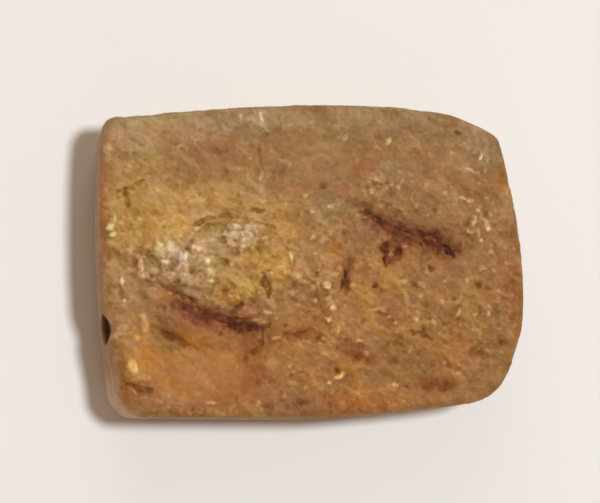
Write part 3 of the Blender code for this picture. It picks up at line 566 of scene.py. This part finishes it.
def keep(name, values):
    """Stores a value from 0 to 1 at every point, for the clay's material to read."""
    layer = seal.data.attributes.new(name, "FLOAT", "POINT")
    layer.data.foreach_set("value", np.clip(values, 0.0, 1.0).astype(np.float32))


# Broad stains in the clay, whose hues drift in and out, and then broad paler or darker
# areas: middle, half length, half width, turn, and strength.
STAINS = {
    "ochre": [(-17.5, 5.5, 5.0, 5.0, 0, 1.0), (-9.0, 4.9, 5.0, 1.8, 0, 0.7),
        (-9.0, -2.2, 3.6, 2.2, -10, 1.0), (-18.2, -6.8, 1.4, 1.8, 0, 0.7),
        (8.0, -2.8, 1.7, 1.3, 0, 0.6), (5.0, -4.8, 1.5, 2.5, 0, 0.5), (-5.6, -1.0, 2.8, 2.8, 0, 0.85),
        (-10.5, 7.4, 3.6, 2.0, 0, 0.7), (-4.0, 4.4, 3.4, 2.4, 0, 0.9), (-12.0, -10.5, 6.0, 3.0, 0, 0.4),
        (-17.5, -10.2, 1.6, 1.3, 0, 0.9), (-13.6, -7.7, 1.4, 0.5, -10, 0.9),
        (-15.0, -12.6, 1.8, 0.7, -15, 0.8), (-3.2, -9.2, 1.5, 0.8, 0, 1.2),
        (4.0, -11.6, 1.4, 0.9, 0, 0.9)],
    "orange": [(-12.0, -11.0, 8.0, 4.6, -3, 1.15), (-14.8, -4.0, 2.2, 0.8, -10, 0.8),
        (2.3, 1.2, 0.9, 1.0, 0, 0.8), (5.4, -1.0, 1.1, 0.9, 0, 0.6), (-4.2, 4.9, 0.9, 0.7, 0, 0.6),
        (14.5, -9.3, 2.4, 1.5, 0, 0.5), (-2.0, 7.7, 2.2, 0.7, 0, 0.5), (19.0, 8.5, 1.4, 1.8, -20, 0.6),
        (-1.5, -6.8, 3.0, 1.4, 0, 0.5), (0.5, -10.5, 4.0, 2.6, 0, 0.4),
        (-12.6, -12.4, 1.4, 1.3, 0, 1.0), (5.2, -14.0, 3.8, 1.6, 0, 0.9),
        (-0.6, -12.0, 1.6, 1.4, 0, 0.6)],
    "rust": [(10.0, -8.0, 15.0, 8.0, 0, 0.9), (10.0, 0.0, 16.0, 4.0, 0, 0.5),
        (2.0, -13.0, 14.0, 3.0, 0, 0.6)],
    "red": [(13.2, -13.0, 2.4, 1.1, 0, 0.9), (5.0, 9.6, 1.8, 1.2, 10, 0.7),
        (2.8, 7.4, 1.8, 0.8, 0, 0.6), (21.2, -2.5, 1.0, 3.6, 0, 0.8), (17.7, -9.6, 1.0, 0.6, 0, 0.6),
        (4.8, -9.5, 2.3, 1.0, -12, 0.9), (-1.5, -7.8, 2.2, 0.6, 5, 0.8),
        (-7.0, -12.0, 0.8, 3.0, 0, 0.35), (10.6, 2.6, 5.2, 1.7, -18, 0.85),
        (8.1, 0.9, 1.4, 1.4, 0, 0.85), (-11.0, -6.2, 4.8, 1.2, -12, 1.0),
        (-21.9, 5.0, 0.5, 6.0, 0, 0.9), (19.0, -3.0, 1.8, 1.6, -30, 0.5),
        (-18.4, -13.6, 1.8, 0.9, 0, 0.6), (0.0, -15.0, 12.0, 0.8, 0, 0.6)],
    "lilac": [(-7.5, -5.4, 1.0, 0.6, 0, 0.9), (-14.4, 0.3, 0.7, 1.0, 0, 0.6),
        (-13.1, -3.4, 1.0, 0.5, -20, 0.7), (1.5, -5.6, 0.7, 0.8, 0, 0.4),
        (-17.9, 6.5, 0.9, 0.28, 5, 0.8), (-12.0, 13.6, 2.0, 0.8, 0, 0.3),
        (-14.4, -8.3, 1.3, 0.5, -35, 0.9), (-16.6, -3.1, 0.5, 0.4, 0, 0.6),
        (-21.1, -7.0, 0.3, 1.5, 0, 0.9), (5.2, 5.9, 0.9, 0.6, -30, 0.6), (7.8, 0.2, 0.7, 0.5, 30, 0.9),
        (3.3, -1.6, 0.7, 1.8, 0, 0.7), (-17.6, -13.8, 0.6, 0.3, 0, 0.6),
        (10.2, 2.8, 5.6, 1.6, -20, 0.75), (8.1, 0.8, 1.3, 1.3, 0, 0.75),
        (-10.4, -6.2, 4.8, 1.1, -12, 0.55), (15.2, 1.1, 0.8, 0.6, -20, 0.7),
        (17.0, 10.9, 1.0, 0.8, 0, 0.4), (-7.1, -10.6, 0.4, 0.9, 0, 0.7),
        (-6.0, -12.6, 0.6, 0.9, 0, 0.6), (-7.2, -14.6, 0.6, 0.4, 0, 0.6),
        (-1.4, -15.0, 1.4, 0.8, 0, 0.6), (2.4, -13.0, 0.7, 0.5, 0, 0.5),
        (-11.5, -6.7, 1.4, 0.5, -10, 0.4)],
    "olive": [(-16.2, -7.5, 1.2, 0.5, -5, 0.9), (-15.2, -9.0, 1.7, 0.6, -20, 0.9),
        (-18.9, -11.3, 0.9, 0.5, -60, 0.8), (-17.5, 14.3, 3.4, 0.6, 5, 0.8),
        (3.5, 6.0, 0.7, 0.7, 0, 0.8), (-10.0, 2.2, 1.0, 1.5, 0, 0.7), (4.3, -11.4, 1.6, 1.0, 0, 0.6),
        (19.3, -10.5, 1.4, 1.7, -20, 0.6), (10.8, -3.0, 1.0, 0.6, -20, 0.7),
        (16.8, 2.6, 1.0, 0.6, 0, 0.6), (-7.5, 0.8, 1.6, 0.5, 0, 0.6), (-19.0, 7.6, 1.6, 0.8, 10, 0.5),
        (2.0, 12.5, 4.0, 1.2, 0, 0.4)],
    "ashen": [(-21.2, 3.3, 0.7, 1.3, 0, 1.0), (8.5, 9.8, 2.0, 1.3, 0, 0.7),
        (18.5, 12.0, 3.0, 2.2, -35, 0.9), (-17.5, 11.5, 3.4, 1.2, 0, 0.5), (1.5, 5.6, 2.4, 1.0, 0, 0.4),
        (-13.0, -0.4, 5.0, 2.6, -12, 0.6), (-8.4, 2.2, 2.2, 1.3, 0, 0.6),
        (14.0, -1.5, 3.0, 1.5, 0, 0.3), (-15.4, -8.8, 1.4, 0.5, -22, 0.9)],
}
for stain, places in STAINS.items():
    share = np.zeros(count)
    for *oval, strength in places:
        share = np.maximum(share, strength * spot(*oval, 0.5))
    if stain in ("ochre", "rust"):
        share = share * (1.0 + 0.5 * drifting) + 0.22 * np.clip(drifting, 0.0, None)
    if stain == "red":
        share = share + 0.25 * np.clip(-drifting, 0.0, None)
    if stain == "ashen":
        share = np.maximum(share, 0.9 * smooth(11.5, 15.2, place[:, 1] + 1.5 * slow + 0.8 * lumps))
    keep(stain, share * (1.0 - side))

# The first six darker areas, along the bite, the crevice and a pit, are painted shade. The pale strip at
# the near left rim is a painted highlight, with a darker strip just inside it.
AREAS = [
    (8.3, 3.7, 2.2, 1.0, -18, -0.04), (10.7, 2.7, 1.9, 1.2, -12, -0.045),
    (13.1, 2.1, 1.8, 1.3, -30, -0.055), (-11.6, -5.8, 3.0, 1.1, -12, -0.06),
    (-7.6, -7.0, 2.2, 0.9, -8, -0.05), (8.1, 0.9, 1.2, 1.3, 0, -0.06), (11.5, -9.5, 5.5, 3.2, 0, -0.03),
    (-2.0, 14.9, 19.0, 1.2, 0, 0.035), (-19.0, 4.0, 4.0, 11.0, 0, 0.08),
    (-10.5, 5.2, 8.0, 3.2, 0, 0.08), (-3.5, 4.2, 3.2, 2.4, 0, 0.03), (-1.0, 1.6, 3.2, 2.4, 0, 0.06),
    (-9.5, 1.2, 7.0, 3.0, 0, 0.08), (4.0, -5.5, 2.4, 2.8, -30, 0.09), (-19.6, -8.5, 2.0, 6.0, 10, 0.05),
    (-14.0, -11.5, 6.0, 2.6, 0, 0.04), (-14.0, 13.8, 9.0, 1.6, 4, 0.05),
    (17.5, 12.8, 3.0, 1.4, -35, 0.05), (-4.0, -2.0, 2.6, 2.4, 0, 0.06),
    (-8.3, -2.6, 3.2, 1.5, -15, 0.045), (6.0, -14.2, 5.0, 1.0, 4, 0.06),
    (-3.4, -10.9, 1.8, 0.6, 0, 0.07), (4.6, -9.4, 2.2, 0.8, -10, -0.04),
    (-20.7, -12.0, 0.45, 3.2, 12, 0.12), (-19.9, -11.6, 0.4, 3.0, 12, -0.06),
    (-17.0, -3.0, 3.0, 1.2, -10, -0.05), (-10.5, -8.0, 4.4, 1.1, -15, -0.06),
    (-6.4, -9.6, 1.5, 3.0, 10, -0.05), (4.0, 7.6, 4.4, 2.0, 0, -0.03), (3.4, 3.0, 3.0, 2.2, 0, -0.03),
    (19.6, -3.0, 2.6, 7.0, 0, -0.05), (14.0, -12.8, 6.0, 1.7, 5, -0.04),
    (6.0, -9.8, 3.2, 1.3, -20, -0.04), (-16.5, -6.4, 3.0, 1.6, -10, -0.04),
    (-15.2, -8.7, 1.5, 0.6, -22, -0.05), (16.4, 2.0, 1.6, 1.4, 0, -0.05),
    (10.0, 14.0, 5.0, 1.0, -5, -0.04), (-6.0, -15.7, 15.0, 0.7, 0, -0.05),
    (-3.0, -14.6, 5.0, 1.0, 0, -0.03), (-19.0, -13.8, 2.6, 1.4, 0, -0.06),
    (-2.4, -5.6, 2.6, 1.1, 0, 0.015),
]
for *oval, paler in AREAS:
    tone = tone + paler * spot(*oval, 0.6)
keep("side", side)
keep("lively", ((1.0 - side) * 0.6 * lively + side * 0.38) * (1.0 - 0.5 * smooth(0.1, 0.4, shade_and_dark_earth + sunk_shade_and_dirt)))
# Strongest where the painted shade and dark earth of furrows and pits are deepest, and in the string hole
# and on its worn lip, where the shade is painted too.
keep("deep", np.maximum(on_face * smooth(0.2, 0.45, shade_and_dark_earth + sunk_shade_and_dirt), hole_mouth_shade))

# The sides are plain. The near left corner is made palest by a painted highlight, and the near side darkens
# to its foot with painted shade.
painted_corner_highlight = smooth(-11.0, -15.0, place[:, 1]) * smooth(-16.0, -20.0, place[:, 0])
smoothed = 0.5 + 0.04 * lumps + 0.05 * sandy + 0.06 * slow_too + 0.05 * blotchy + 0.14 * painted_corner_highlight
smoothed = smoothed - 0.05 * smooth(-14.6, -16.0, place[:, 1]) * (1.0 - painted_corner_highlight)
tone = (1.0 - side) * tone + side * smoothed
# The string hole and its worn lip are darkened: painted shade.
keep("tone", tone - 0.18 * hole_mouth_shade)
keep("crusted", on_face * crusted)
keep("grainy", on_face * np.clip(0.3 + 0.5 * figure + 0.5 * crusted + crest - basin, 0.0, 1.0))
keep("grain_and_glint", on_face * smooth(0.06, 0.24, crumbs_and_glints))


# The clay's finish. Sandy iron-rich clay, baked brown and ochre, rubbed smooth on the sides, with a pale
# mineral crust and some painted glints on what stands proud, and dark earth with painted shade in what is
# deep.

TONES = [
    (0.00, (0.028, 0.007, 0.004, 1.0)),
    (0.25, (0.128, 0.046, 0.014, 1.0)),
    (0.50, (0.305, 0.151, 0.043, 1.0)),
    (0.75, (0.540, 0.335, 0.165, 1.0)),
    (1.00, (0.800, 0.610, 0.410, 1.0)),
]
STAIN_COLOURS = {
    "ochre": (1.07, 1.03, 0.56, 1.0),
    "orange": (1.12, 0.90, 0.58, 1.0),
    "rust": (1.05, 0.93, 0.68, 1.0),
    "red": (1.00, 0.82, 0.92, 1.0),
    "lilac": (0.95, 0.88, 1.30, 1.0),
    "olive": (0.90, 1.00, 0.82, 1.0),
    "ashen": (0.90, 1.07, 1.38, 1.0),
}
SIDE_COLOUR = (1.40, 1.48, 1.90, 1.0)
# Plum laid over the deepest furrows and pits and the string hole: painted shade with dark earth.
PLUM_SHADE_AND_EARTH = (0.052, 0.016, 0.013, 1.0)
RUDDY = (1.05, 0.93, 0.90, 1.0)
GREENISH = (0.95, 1.02, 0.85, 1.0)
EVEN_STEP = (0.57, 0.377, 0.224)  # a step as large to the eye in red as in green and blue
BLACKEST = (0.03, 0.01, 0.008)
PATCH_STEP = 0.07  # how far the broad patches stray from the tone
ROUGHNESS = 0.72
BUMP_HEIGHT = 0.08 * MM

clay = bpy.data.materials.new("sandy_clay")
clay.use_nodes = True
tree = clay.node_tree
shader = tree.nodes["Principled BSDF"]
where = tree.nodes.new("ShaderNodeTexCoord").outputs["Object"]


def mottling(per_m, detail, roughness):
    """A random grey pattern through the clay, so many patches to a metre."""
    made = tree.nodes.new("ShaderNodeTexNoise")
    made.inputs["Scale"].default_value = per_m
    made.inputs["Detail"].default_value = detail
    made.inputs["Roughness"].default_value = roughness
    tree.links.new(where, made.inputs["Vector"])
    return made.outputs["Fac"]


def patches(per_m, stretch):
    """A random grey for each crisp-edged patch of clay, the patches lying along the flakes."""
    turn = tree.nodes.new("ShaderNodeMapping")
    turn.inputs["Rotation"].default_value = (0.0, 0.0, -math.radians(FLAKE_SLANT))
    tree.links.new(where, turn.inputs["Vector"])
    stray = tree.nodes.new("ShaderNodeTexNoise")
    stray.inputs["Scale"].default_value = per_m * 0.9
    stray.inputs["Detail"].default_value = 2.0
    tree.links.new(where, stray.inputs["Vector"])
    bend = tree.nodes.new("ShaderNodeVectorMath")
    bend.operation = "MULTIPLY_ADD"
    bend.inputs[1].default_value = (0.55 / per_m,) * 3
    tree.links.new(stray.outputs["Color"], bend.inputs[0])
    tree.links.new(turn.outputs["Vector"], bend.inputs[2])
    narrow = tree.nodes.new("ShaderNodeMapping")
    narrow.inputs["Scale"].default_value = (1.0 / stretch, 1.0, 1.0)
    tree.links.new(bend.outputs["Vector"], narrow.inputs["Vector"])
    made = tree.nodes.new("ShaderNodeTexVoronoi")
    made.inputs["Scale"].default_value = per_m
    tree.links.new(narrow.outputs["Vector"], made.inputs["Vector"])
    split = tree.nodes.new("ShaderNodeSeparateColor")
    tree.links.new(made.outputs["Color"], split.inputs["Color"])
    return split.outputs["Red"], split.outputs["Green"], made.outputs["Distance"]


def eased(value, low, high):
    """Stretches a value so that low becomes 0 and high becomes 1."""
    made = tree.nodes.new("ShaderNodeMapRange")
    made.interpolation_type = "SMOOTHSTEP"
    made.inputs["From Min"].default_value = low
    made.inputs["From Max"].default_value = high
    tree.links.new(value, made.inputs["Value"])
    return made.outputs["Result"]


def kept(name):
    made = tree.nodes.new("ShaderNodeAttribute")
    made.attribute_name = name
    return made.outputs["Fac"]


def worked(operation, first, second):
    made = tree.nodes.new("ShaderNodeMath")
    made.operation = operation
    for socket, value in zip(made.inputs, (first, second)):
        if isinstance(value, (int, float)):
            socket.default_value = value
        else:
            tree.links.new(value, socket)
    return made.outputs["Value"]


def tinted(under_colour, over_colour, share, way="MIX"):
    """Lays one colour over another where the share is high."""
    made = tree.nodes.new("ShaderNodeMix")
    made.data_type = "RGBA"
    made.blend_type = way
    made.clamp_factor = True
    tree.links.new(under_colour, made.inputs[6])
    made.inputs[7].default_value = over_colour
    tree.links.new(share, made.inputs[0])
    return made.outputs[2]


speckled = mottling(1300.0, 4.0, 0.62)
dusty = mottling(3600.0, 3.0, 0.6)

broad_patches, _, _ = patches(1000.0, 1.6)
small_patches, _, _ = patches(2400.0, 1.5)
which_grain, which_speck, from_middle = patches(1700.0, 1.3)

tone_here = kept("tone")
broad = worked("MULTIPLY", worked("SUBTRACT", broad_patches, 0.5), kept("lively"))
tone_here = worked("ADD", tone_here, worked("MULTIPLY", broad, PATCH_STEP))
clay_tones = tree.nodes.new("ShaderNodeValToRGB")
clay_tones.color_ramp.elements.remove(clay_tones.color_ramp.elements[1])
clay_tones.color_ramp.elements[0].position = TONES[0][0]
clay_tones.color_ramp.elements[0].color = TONES[0][1]
for level, colour in TONES[1:]:
    clay_tones.color_ramp.elements.new(level).color = colour
tree.links.new(tone_here, clay_tones.inputs["Fac"])

colour = clay_tones.outputs["Color"]
for stain, tint in STAIN_COLOURS.items():
    colour = tinted(colour, tint, kept(stain), "MULTIPLY")
cloudy = mottling(420.0, 2.0, 0.55)
colour = tinted(colour, RUDDY, worked("MULTIPLY", eased(cloudy, 0.50, 0.68), kept("lively")), "MULTIPLY")
colour = tinted(colour, GREENISH, worked("MULTIPLY", eased(cloudy, 0.50, 0.32), kept("lively")), "MULTIPLY")
colour = tinted(colour, SIDE_COLOUR, kept("side"), "MULTIPLY")
# Painted shade, with dark earth, in plum over the deepest places.
colour = tinted(colour, PLUM_SHADE_AND_EARTH, worked("MULTIPLY", kept("deep"), 0.6))

# Detail too fine to carry a hue of its own: mottling, single pale grains where the clay is sandy, partly
# painted glints, dark specks all over the face, and scabs with gaps between them in the crust.
fine = worked("MULTIPLY", worked("SUBTRACT", speckled, 0.5), 0.14)
for pattern, reach in ((dusty, 0.10), (small_patches, 0.14)):
    fine = worked("ADD", fine, worked("MULTIPLY", worked("SUBTRACT", pattern, 0.5), reach))
round_grain = eased(from_middle, 0.42, 0.18)
pale_grain_and_glint = worked("ADD", which_grain, worked("MULTIPLY", kept("grainy"), 0.20))
pale_grain_and_glint = worked("MULTIPLY", round_grain, eased(pale_grain_and_glint, 0.94, 0.99))
dark_speck = worked("MULTIPLY", round_grain, eased(which_speck, 0.14, 0.07))
fine = worked("ADD", fine, worked("MULTIPLY", pale_grain_and_glint, 0.36))
fine = worked("SUBTRACT", fine, worked("MULTIPLY", dark_speck, 0.17))
scab = worked("SUBTRACT", eased(speckled, 0.51, 0.57), eased(speckled, 0.47, 0.40))
fine = worked("ADD", fine, worked("MULTIPLY", scab, worked("MULTIPLY", kept("crusted"), 0.15)))
dots = worked("SUBTRACT", eased(dusty, 0.50, 0.60), 0.3)
fine = worked("ADD", fine, worked("MULTIPLY", dots, worked("MULTIPLY", kept("grain_and_glint"), 0.25)))
detail = tree.nodes.new("ShaderNodeVectorMath")
detail.operation = "MULTIPLY_ADD"
tree.links.new(worked("MULTIPLY", fine, kept("lively")), detail.inputs[0])
detail.inputs[1].default_value = EVEN_STEP
tree.links.new(colour, detail.inputs[2])
floor = tree.nodes.new("ShaderNodeVectorMath")
floor.operation = "MAXIMUM"
tree.links.new(detail.outputs["Vector"], floor.inputs[0])
floor.inputs[1].default_value = BLACKEST
tree.links.new(floor.outputs["Vector"], shader.inputs["Base Color"])

shader.inputs["Specular IOR Level"].default_value = 0.35
polish = worked("SUBTRACT", ROUGHNESS, worked("MULTIPLY", kept("grain_and_glint"), 0.25))
polish = worked("SUBTRACT", polish, worked("MULTIPLY", dusty, 0.2))
earthy = worked("MAXIMUM", kept("deep"), eased(kept("tone"), 0.44, 0.30))
polish = worked("ADD", polish, worked("MULTIPLY", earthy, 0.4))
tree.links.new(polish, shader.inputs["Roughness"])

rough = worked("ADD", worked("MULTIPLY", speckled, 0.6), worked("MULTIPLY", dusty, 0.3))
rough = worked("ADD", rough, worked("MULTIPLY", small_patches, 0.1))
bump = tree.nodes.new("ShaderNodeBump")
bump.inputs["Strength"].default_value = 0.35
bump.inputs["Distance"].default_value = BUMP_HEIGHT
tree.links.new(rough, bump.inputs["Height"])
tree.links.new(bump.outputs["Normal"], shader.inputs["Normal"])

seal.data.materials.append(clay)
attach(seal, "root")
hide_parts("clay_seal")


# The table it lies on: a plain warm white sheet, far larger than the seal.

TABLE_HALF = 1.2
SHEET_COLOUR = (0.855, 0.865, 0.87, 1.0)

work = bmesh.new()
bmesh.ops.create_grid(work, x_segments=1, y_segments=1, size=TABLE_HALF)
sheet = bpy.data.meshes.new("table_sheet")
work.to_mesh(sheet)
work.free()
table = bpy.data.objects.new("table_sheet", sheet)
bpy.context.scene.collection.objects.link(table)
paint = bpy.data.materials.new("warm_white_sheet")
paint.use_nodes = True
painted = paint.node_tree.nodes["Principled BSDF"]
painted.inputs["Base Color"].default_value = SHEET_COLOUR
painted.inputs["Roughness"].default_value = 0.8
sheet.materials.append(paint)


# Studio light: one high lamp from the right for the edge of the shadow, a weaker wide
# one from the far side that rakes the relief, a faint one from the near side, and a warm
# glow all round.

def lamp(name, place_mm, size_mm, watts, tint):
    light = bpy.data.lights.new(name, "AREA")
    light.shape = "DISK"
    light.size = size_mm * MM
    light.energy = watts
    light.color = tint
    made = bpy.data.objects.new(name, light)
    made.location = Vector(place_mm) * MM
    made.rotation_euler = (-made.location).to_track_quat("-Z", "Y").to_euler()
    bpy.context.scene.collection.objects.link(made)


lamp("high_lamp", (114.0, 20.0, 645.0), 80.0, 2.92, (0.96, 1.0, 0.99))
lamp("far_lamp", (-40.0, 420.0, 330.0), 420.0, 0.5, (1.0, 0.88, 0.76))
lamp("near_lamp", (40.0, -380.0, 260.0), 300.0, 0.09, (1.0, 0.84, 0.68))

GLOW_COLOUR = (1.0, 0.69, 0.49, 1.0)

world = bpy.data.worlds.new("warm_room")
world.use_nodes = True
glow = world.node_tree.nodes["Background"]
glow.inputs["Color"].default_value = GLOW_COLOUR
glow.inputs["Strength"].default_value = 0.25
bpy.context.scene.world = world
bpy.context.scene.view_settings.view_transform = "Standard"


# The camera stands above the seal, a little to its left and towards its near side.

LENS = 198.3
TARGET = Vector((0.0, 0.0, 9.0))  # mm, as are the two distances below
STAND_OFF = 350.0
AIM_SHIFT = Vector((-1.0, 1.2, 0.0))
TILT_LEFT = 8.5  # degrees from straight above
TILT_NEAR = 4.5

back = Vector((-math.tan(math.radians(TILT_LEFT)), -math.tan(math.radians(TILT_NEAR)), 1.0))
spot_above = TARGET + back.normalized() * STAND_OFF
aim = TARGET + AIM_SHIFT
forward = (aim - spot_above).normalized()
right = forward.cross(Vector((0.0, 1.0, 0.0))).normalized()
up = right.cross(forward)
camera_data = bpy.data.cameras.new("camera")
camera_data.lens = LENS
camera_data.clip_start = 0.01
camera = bpy.data.objects.new("camera", camera_data)
turned = Matrix((right, up, -forward)).transposed()
camera.matrix_world = Matrix.Translation(spot_above * MM) @ turned.to_4x4()
bpy.context.scene.collection.objects.link(camera)
bpy.context.scene.camera = camera
